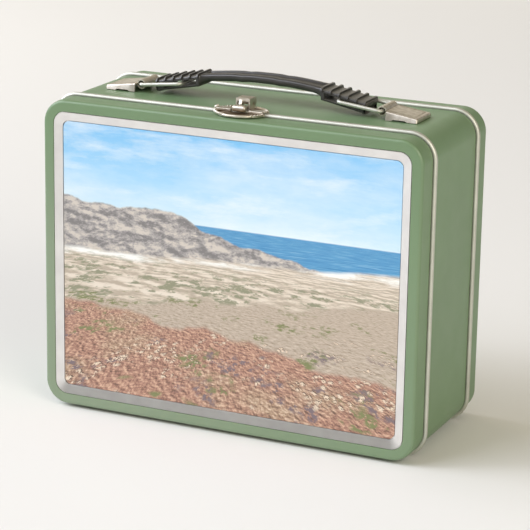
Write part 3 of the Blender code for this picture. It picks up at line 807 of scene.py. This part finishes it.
dress(right_bracket, "box", "bracket_right", NICKEL)
dress(left_bracket, "box", "bracket_left", NICKEL)

# %% [markdown]
# ## Wire loops
#
# A loop of 2.1 mm wire ties the handle to each bracket. Its four corners are
# bends, so it starts as a flat rectangle with rounded corners whose outline
# becomes a round wire, as the beads did. It is then tilted up to the handle's
# slot.

# %% Wire loops
WIRE_R, WIRE_BEND, WIRE_STEPS = 1.05 * MM, 2.2 * MM, 4
SLOT_BAR_X, SLOT_BAR_Z = 45.7 * MM, 179.4 * MM
LEG_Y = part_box("bail_right")[1].y - WIRE_R
length = math.hypot(TUBE_X - SLOT_BAR_X, SLOT_BAR_Z - TUBE_Z)
take()
bpy.ops.mesh.primitive_plane_add(size=1, location=(-length / 2, 0, 0))
bpy.context.object.scale = (length, 2 * LEG_Y, 1)
loop = named("wire_loop_right")
pick(loop, "VERT")
bpy.ops.mesh.bevel(offset=WIRE_BEND, segments=6, affect="VERTICES")
loop = round_wire(loop, WIRE_R, WIRE_STEPS)
loop.rotation_euler.y = math.asin((SLOT_BAR_Z - TUBE_Z) / length)
loop.location = (TUBE_X, 0, TUBE_Z)
right_loop = named("wire_loop_right")
left_loop = mirrored(right_loop, "wire_loop_left")
dress(right_loop, "bail_right", "bail_right", BRIGHT, smooth=60)
dress(left_loop, "bail_left", "bail_left", BRIGHT, smooth=60)

# %% [markdown]
# ## Handle
#
# The handle is one moulding: an arched grip that is round below and has a
# shallow channel on top, and at each end a ribbed block with a slot through it.
# Bending a straight bar would need many even cuts anyway, so the bar is cut at
# chosen stations, and each station is moved down along the arch. The block's
# ribs are strips of its top pushed outwards, and the slot is a bridge between
# its two sides.

# %% Grip
low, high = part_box("handle")
HANDLE_END, HANDLE_TOP = high.x, high.z
GRIP_W, GRIP_THICK = 6.6 * MM, 4.1 * MM
GRIP_LOW = HANDLE_TOP - GRIP_THICK
ROUND_TOP, ROUND_BELOW = 1.4 * MM, 2.2 * MM
CHANNEL_IN, CHANNEL_DEEP = 1.3 * MM, 0.8 * MM
ARCH_R, ARCH_STEPS = 240.0 * MM, 8
BLOCK_X, NECK_X = 35.5 * MM, 29.5 * MM
BLOCK_LOW, BLOCK_FALL = 178.7 * MM, -5.0 * MM
NECK_FLARE, NECK_STEPS = 0.16, 6


def arch(x):
    return -x * x / (2 * ARCH_R)


stations = [NECK_X * i / ARCH_STEPS for i in range(1, ARCH_STEPS + 1)]
stations += [NECK_X + (BLOCK_X - NECK_X) * math.sin(math.pi / 2 * i / NECK_STEPS)
             for i in range(1, NECK_STEPS)]
grip = cube("handle_moulding", (-BLOCK_X, -GRIP_W, GRIP_LOW), (BLOCK_X, GRIP_W, HANDLE_TOP))
round_off(grip, ROUND_TOP, 5, along(X), at("Z", HANDLE_TOP))
round_off(grip, ROUND_BELOW, 6, along(X), at("Z", GRIP_LOW))
pick(grip, "FACE", facing(Z, 0.99))
inset(CHANNEL_IN)
inset(CHANNEL_DEEP, -CHANNEL_DEEP)
cut_across(grip, [side * x for x in stations for side in (-1, 1)])
take(grip)
stations = sorted({round(abs(v.co.x), 6) for v in grip.data.vertices})
for x in stations:
    here = lambda v, x=x: abs(abs(v.co.x) - x) < NEAR
    neck = max(0.0, (x - NECK_X) / (BLOCK_X - NECK_X))
    fillet = 1 - math.sqrt(1 - neck * neck)
    move(grip, "VERT", (0, 0, arch(x)), here)
    bpy.ops.transform.resize(value=(1, 1 + NECK_FLARE * fillet, 1), center_override=(0, 0, 0))
    underside = GRIP_LOW + arch(x)
    move(grip, "VERT", (0, 0, (BLOCK_LOW - underside) * fillet),
         here, within("Z", 0, underside + GRIP_THICK / 2))
print("grip bent at", len(stations), "stations")

# %% Ribbed end blocks
BLOCK_W = 8.0 * MM
BLOCK_TOP_R, BLOCK_LOW_R = 1.3 * MM, 0.8 * MM
RIBS, RIB_FIRST, RIB_PITCH = 6, 36.1 * MM, 4.85 * MM
RIB_BASE, RIB_H, RIB_W = 0.3 * MM, 1.2 * MM, 0.9 * MM
SLOT_IN, SLOT_OUT = 37.3 * MM, 56.0 * MM
SLOT_H, SLOT_SLOPE = 3.1 * MM, 0.2
OFF_SLOT = 2.0 * MM
LIP_SHORT = 2.5 * MM


def over_slot(item):
    """Height of an item's centre over the slot's middle."""
    middle = centre(item)
    return middle.z - SLOT_BAR_Z + SLOT_SLOPE * (middle.x - SLOT_BAR_X)


def on_rib(item):
    place = (centre(item).x - RIB_FIRST) / RIB_PITCH
    return abs(place - round(place)) * RIB_PITCH < RIB_W / 2 and round(place) < RIBS


def outer_edge(edge):
    return along(X, 0.85)(edge) and abs(centre(edge).y) > BLOCK_W - NEAR


top = HANDLE_TOP - RIB_BASE
block = cube("handle_block", (BLOCK_X, -BLOCK_W, BLOCK_LOW), (HANDLE_END, BLOCK_W, top))
places = [RIB_FIRST + i * RIB_PITCH + side * RIB_W / 2 for i in range(RIBS) for side in (-1, 1)]
places += [SLOT_IN, SLOT_OUT]
cut_across(block, places)
for x in places + [BLOCK_X, HANDLE_END]:
    fall = BLOCK_FALL * (x - BLOCK_X) / (HANDLE_END - BLOCK_X)
    move(block, "VERT", (0, 0, arch(x)), at("X", x), at("Z", top))
    move(block, "VERT", (0, 0, fall), at("X", x), at("Z", BLOCK_LOW))
for side in (-1, 1):
    cut(block, (SLOT_BAR_X, 0, SLOT_BAR_Z + side * SLOT_H / 2), (SLOT_SLOPE, 0, 1))
round_off(block, BLOCK_TOP_R, 4, outer_edge, lambda edge: over_slot(edge) > OFF_SLOT)
round_off(block, BLOCK_LOW_R, 3, outer_edge, lambda edge: over_slot(edge) < -OFF_SLOT)
pick(block, "FACE", on_rib, lambda face: face.normal.z > 0.1)
bpy.ops.mesh.extrude_region_shrink_fatten(TRANSFORM_OT_shrink_fatten={"value": RIB_H})
pick(block, "FACE", lambda face: abs(face.normal.y) > 0.95, within("X", SLOT_IN, SLOT_OUT),
     lambda face: abs(over_slot(face)) < SLOT_H / 2)
bpy.ops.mesh.bridge_edge_loops()
end_middle = SLOT_BAR_Z - SLOT_SLOPE * (HANDLE_END - SLOT_BAR_X)
move(block, "VERT", (-LIP_SHORT, 0, 0), at("X", HANDLE_END), within("Z", 0, end_middle))
soften(block, 0.2 * MM, degrees=40)
handle = join("handle_moulding", grip, block, mirrored(block, "handle_block_left"))
dress(handle, "handle", "handle", PLASTIC)

# %% [markdown]
# ## Latch
#
# The latch is an oval plate in two halves, parted along the seam: the rear half
# on the box carries the hasp, and the front half on the lid carries the catch.
# Its edge is pressed like a rope, a row of short twisted grains, apart from the
# front, which is a smooth roll. Inside the edge runs a groove round a raised
# middle. At each side the rope climbs over the bead on a narrow wing.

# %% Oval plates and rope edge
LATCH = Vector((0.9 * MM, SEAM_Y, 0))
OVAL_A, OVAL_B = 14.2 * MM, 12.0 * MM
PLATE_LOW, PLATE_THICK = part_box("latch_base")[0].z, 1.4 * MM
# from the edge inwards, each ring's width and its step down or up
RINGS = ((1.0 * MM, 0.0), (0.8 * MM, -0.9 * MM), (1.2 * MM, 0.0), (1.2 * MM, 0.5 * MM))
PART_Y = BEAD_R + RUN_GAP
GRAIN, GRAIN_TWIST, GRAIN_STEP = (1.1 * MM, 0.55 * MM, 0.75 * MM), 40, 7.5
ROPE_Z = PLATE_LOW + 1.2 * MM
LATCH_NICKEL = worked_metal("nickel_plated_latch", *NICKEL_LOOK)
# the groove painted brown: partly tarnish, partly painted shade
tarnish_and_painted_shade(LATCH_NICKEL, LATCH, OVAL_A, OVAL_B, PLATE_LOW + 1.3 * MM, "76644F")


def on_oval(degrees, z=0.0):
    angle = math.radians(degrees)
    return LATCH + Vector((OVAL_A * math.cos(angle), OVAL_B * math.sin(angle), z))


def oval_half(name, edge, front):
    """An oval with a rim, a groove and a raised middle, cut off beside the seam."""
    plate = rod(name, (LATCH.x, LATCH.y, PLATE_LOW + PLATE_THICK / 2), OVAL_A, PLATE_THICK, "Z", 96)
    pick(plate, "FACE")
    bpy.ops.transform.resize(value=(1, OVAL_B / OVAL_A, 1), center_override=LATCH)
    pick(plate, "FACE", facing(Z))
    for width, step in RINGS:
        inset(width, step)
    soften(plate, 0.4 * MM, segments=4, degrees=20)
    cut(plate, (0, edge, 0), Y, use_fill=True, clear_outer=front, clear_inner=not front)
    return plate


def rope(name, degrees, height):
    """Twisted grains along the oval's edge."""
    take()
    bpy.ops.mesh.primitive_uv_sphere_add(segments=10, ring_count=6, radius=1.0)
    bpy.context.object.scale = GRAIN
    bpy.context.object.rotation_euler.z = math.radians(GRAIN_TWIST)
    grain = named("grain")
    grains = []
    for degree in degrees:
        angle = math.radians(degree)
        twin = copy(grain, "grain")
        twin.location = on_oval(degree, height(degree))
        twin.rotation_euler.z = math.atan2(OVAL_B * math.cos(angle), -OVAL_A * math.sin(angle))
        grains.append(twin)
    bpy.data.objects.remove(grain)
    grains = join(name, *grains)
    bpy.ops.object.transform_apply(location=True, rotation=True, scale=True)
    return grains


# %% Keeper: plate, rope and wings
WING_TOP, WING_DROP = 174.9 * MM, -1.5 * MM
WING_IN, WING_OUT = 5.1 * MM, 13.3 * MM
FRONT_ROPE = [172 + GRAIN_STEP * i for i in range(11)] + [315 + GRAIN_STEP * i for i in range(8)]
keeper_edge = SEAM_Y - PART_Y


def rope_height(degree):
    """The rope lies on the rim, and on the wings where it crosses the seam."""
    over_seam = abs(math.sin(math.radians(degree))) < 0.2
    return (WING_TOP if over_seam else ROPE_Z) + 0.1 * MM


low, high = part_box("latch_keeper")
plate = oval_half("keeper_plate", keeper_edge, True)
edge_rope = rope("keeper_rope", FRONT_ROPE, rope_height)
wings = []
for side in (-1, 1):
    wing = cube("keeper_wing",
                (LATCH.x + side * WING_IN, keeper_edge - SHEET, WING_TOP - SHEET),
                (LATCH.x + side * WING_OUT, high.y, WING_TOP))
    cut(wing, (0, keeper_edge, 0), Y)
    pick(wing, "FACE", facing(-Z), within("Y", keeper_edge - SHEET, keeper_edge))
    extrude((0, 0, WING_DROP))
    soften(wing, 0.35 * MM, segments=3)
    wings.append(wing)
print("keeper rope:", len(FRONT_ROPE), "grains")

# %% Keeper: catch and front roll
HASP_X, HASP_HALF = 0.8 * MM, 4.0 * MM
BOSS, BOSS_R, BOSS_LENGTH = (HASP_X + 0.3 * MM, -34.0 * MM, 175.6 * MM), 1.8 * MM, 7.4 * MM
ROLL_R, ROLL_IN = 0.85 * MM, 0.3 * MM
ROLL_ENDS = (250, 313)
boss = rod("keeper_boss", BOSS, BOSS_R, BOSS_LENGTH, "X")
soften(boss, BOSS_R / 2, segments=5)
take()
bpy.ops.curve.primitive_bezier_circle_add(radius=1, location=LATCH + Z * (PLATE_LOW + ROLL_R))
bpy.context.object.scale = (OVAL_A - ROLL_IN, OVAL_B - ROLL_IN, 1)
bpy.ops.object.transform_apply(location=True, rotation=False, scale=True)
ring = bpy.context.object.data
for point in ring.splines[0].bezier_points:
    point.radius = 1.0      # the scaling above has changed it
ring.resolution_u = 24
ring.bevel_depth = ROLL_R
ring.bevel_resolution = 4
bpy.ops.object.convert(target="MESH")
roll = named("keeper_roll")
start, end = (on_oval(degrees) for degrees in ROLL_ENDS)
# the plane's normal has length 1, because bisect's threshold is scaled by it
cut(roll, start, (end - start).cross(Z).normalized(), use_fill=True, clear_inner=True)
keeper = join("latch_catch", plate, edge_rope, roll, boss, *wings)
dress(keeper, "lid", "latch_keeper", LATCH_NICKEL)

# %% Base on the box
PIVOT_Y, PIVOT_Z = -24.5 * MM, 176.9 * MM
EAR_OUT, EAR_HALF, EAR_OVER, EAR_ROUND = 2.9 * MM, 1.2 * MM, 2.0 * MM, 1.1 * MM
PIN_OUT, PIN_BORE, PIN_SHORT = 0.8 * MM, 0.5 * MM, 1.6 * MM
BACK_ROPE = [14 + GRAIN_STEP * i for i in range(21)]
base_edge = SEAM_Y + PART_Y
plate = oval_half("base_plate", base_edge, False)
edge_rope = rope("base_rope", BACK_ROPE, lambda degree: ROPE_Z)
ears = []
for side in (-1, 1):
    ear = cube("latch_ear",
               (HASP_X + side * EAR_OUT, PIVOT_Y - EAR_HALF, PLATE_LOW + 0.3 * MM),
               (HASP_X + side * (EAR_OUT - SHEET), PIVOT_Y + EAR_HALF, PIVOT_Z + EAR_OVER))
    round_off(ear, EAR_ROUND, 5, along(X), within("Z", PIVOT_Z, PIVOT_Z + 2 * EAR_OVER))
    ears.append(ear)
latch_pin = pipe("latch_pin", (HASP_X, PIVOT_Y, PIVOT_Z), PIN_OUT, PIN_BORE,
                 2 * HASP_HALF - PIN_SHORT, "X", 16)
base = join("latch_plate", plate, edge_rope, latch_pin, *ears)
dress(base, "box", "latch_base", LATCH_NICKEL)

# %% Hasp
HASP_SHEET = 0.7 * MM
HASP_FRONT = base_edge + 0.5 * MM
HEEL_R, BACK_R, SIDE_R = 3.3 * MM, 1.6 * MM, 0.6 * MM
LIP_DROP = 1.7 * MM
NOTCH_TOP, STRIP_HALF = PIVOT_Z + 0.6 * MM, 1.9 * MM
HOLE_R = 1.0 * MM
low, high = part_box("latch_hasp")
hasp = cube("latch_flap", (HASP_X - HASP_HALF, HASP_FRONT, low.z),
            (HASP_X + HASP_HALF, high.y, high.z))
round_off(hasp, HEEL_R, 9, along(X), at("Y", high.y), at("Z", low.z))
round_off(hasp, BACK_R, 5, along(X), at("Y", high.y), at("Z", high.z))
round_off(hasp, SIDE_R, 3, lambda edge: centre(edge).z > PIVOT_Z + 3 * MM,
          lambda edge: abs(centre(edge).x - HASP_X) > 3 * MM)
for z in (high.z - LIP_DROP, NOTCH_TOP):
    cut(hasp, (0, 0, z), Z)
cut_across(hasp, (HASP_X - STRIP_HALF, HASP_X + STRIP_HALF))


def open_place(face):
    """The hasp is open below, below its lip in front, and behind where the ears stand."""
    middle = centre(face)
    in_front = at("Y", HASP_FRONT)(face) and middle.z < high.z - LIP_DROP
    by_ear = face.normal.y > 0.2 and middle.z < NOTCH_TOP and abs(middle.x - HASP_X) > STRIP_HALF
    return in_front or by_ear or face.normal.z < -0.3


clear(hasp, "FACE", open_place)
thicken(hasp, HASP_SHEET)
hole = rod("hasp_hole", (HASP_X, PIVOT_Y, PIVOT_Z), HOLE_R, 20 * MM, "X", 24)
modify(hasp, "BOOLEAN", operation="DIFFERENCE", object=hole)
bpy.data.objects.remove(hole)
soften(hasp, 0.12 * MM, degrees=40)
print("hasp:", len(hasp.data.polygons), "faces")

# %% Hasp's tongue
TONGUE_LOW, TONGUE_LEAN = 176.9 * MM, -1.2 * MM
tongue = cube("hasp_tongue", (HASP_X - 2.0 * MM, HASP_FRONT - 0.1 * MM, TONGUE_LOW),
              (HASP_X - 0.2 * MM, HASP_FRONT + 0.6 * MM, high.z - 0.8 * MM))
move(tongue, "VERT", (0, TONGUE_LEAN, 0), at("Z", TONGUE_LOW))
soften(tongue, 0.25 * MM, segments=3)
hasp = join("latch_flap", hasp, tongue)
dress(hasp, "hasp", "latch_hasp", NICKEL)

# %% [markdown]
# ## Stage, light and camera
#
# The box stands on a pale floor that sweeps up behind it. Two large soft lamps
# stand far off, one at the left and one high in front of it, so the light hardly
# falls off across the floor and the shadow falls to the right. Weak lamps fill
# the right side and the back. A dome of warm light, brighter overhead, fills the
# shadow. The camera stands where the photographer stood.

# %% Floor
FLOOR_HALF, SWEEP_HIGH, SWEEP_R = 4.0, 1.25, 0.9
take()
bpy.ops.mesh.primitive_plane_add(size=2 * FLOOR_HALF, location=(0, 0, 0))
floor = named("studio_floor")
pick(floor, "EDGE", at("Y", FLOOR_HALF))
extrude((0, 0, SWEEP_HIGH))
round_off(floor, SWEEP_R, 16, at("Y", FLOOR_HALF), at("Z", 0.0))
paper, _, shader, _ = blank("matt_paper", Roughness=0.9)
shader.inputs["Base Color"].default_value = linear("E4E4E2")
take(floor)
bpy.ops.object.shade_smooth()
floor.data.materials.append(paper)
print("floor:", len(floor.data.polygons), "faces")

# %% Light
BOX_MIDDLE = Vector((0, 0, 80 * MM))
world = bpy.data.worlds.new("studio")
world.use_nodes = True
tree = world.node_tree
way = add(tree, "TexCoord").node.outputs["Generated"]
upward = add(tree, "SeparateXYZ", {0: way}).node.outputs["Z"]
dome = add(tree, "ValToRGB", {"Fac": upward}, stops=[(0.0, "7C7C76"), (1.0, "AA9F8A")])
tree.links.new(dome, tree.nodes["Background"].inputs["Color"])
bpy.context.scene.world = world
bpy.context.scene.view_settings.view_transform = "Standard"


def soft_lamp(name, place, size, watts, tint):
    """A square soft lamp that looks at the box."""
    turn = (Vector(place) - BOX_MIDDLE).to_track_quat("Z", "Y").to_euler()
    take()
    bpy.ops.object.light_add(type="AREA", location=place, rotation=turn)
    light = bpy.context.object
    light.name = name
    light.data.size = size
    light.data.energy = watts
    light.data.color = linear(tint)[:3]


soft_lamp("key_left", (-3.4, -0.8, 2.0), 2.8, 124.0, "ECF0FD")
soft_lamp("front_left", (-2.2, -2.3, 3.1), 2.9, 100.0, "ECF0FD")
soft_lamp("right_fill", (1.2, -0.9, 0.8), 0.9, 14.0, "FFF7EA")
soft_lamp("back_left", (-1.3, 0.7, 0.7), 0.8, 3.2, "FFF4E0")
soft_lamp("back", (-0.5, 1.7, 0.5), 1.2, 2.2, "FFF4E0")

# %% Camera
AZIMUTH, ELEVATION, ROLL = (math.radians(d) for d in (24.58, 16.07, 0.98))
DISTANCE = 1247.88 * MM
AIM_HEIGHT = 81.04 * MM
FRAME_SHIFT = Vector((1.45 * MM, 1.39 * MM, 0))
LENS, SENSOR = 156.3, 36.0
level = Matrix.Rotation(AZIMUTH, 3, "Z") @ Matrix.Rotation(math.pi / 2 - ELEVATION, 3, "X")
turn = level @ Matrix.Rotation(ROLL, 3, "Z")
aim = Z * AIM_HEIGHT + level @ FRAME_SHIFT
take()
bpy.ops.object.camera_add(location=aim + level @ (Z * DISTANCE), rotation=turn.to_euler())
camera = bpy.context.object
camera.name = "photo_camera"
camera.data.lens = LENS
camera.data.sensor_width = SENSOR
bpy.context.scene.camera = camera
print("camera at", [round(c, 4) for c in camera.location])

# %% Leave edit mode with nothing selected
take()
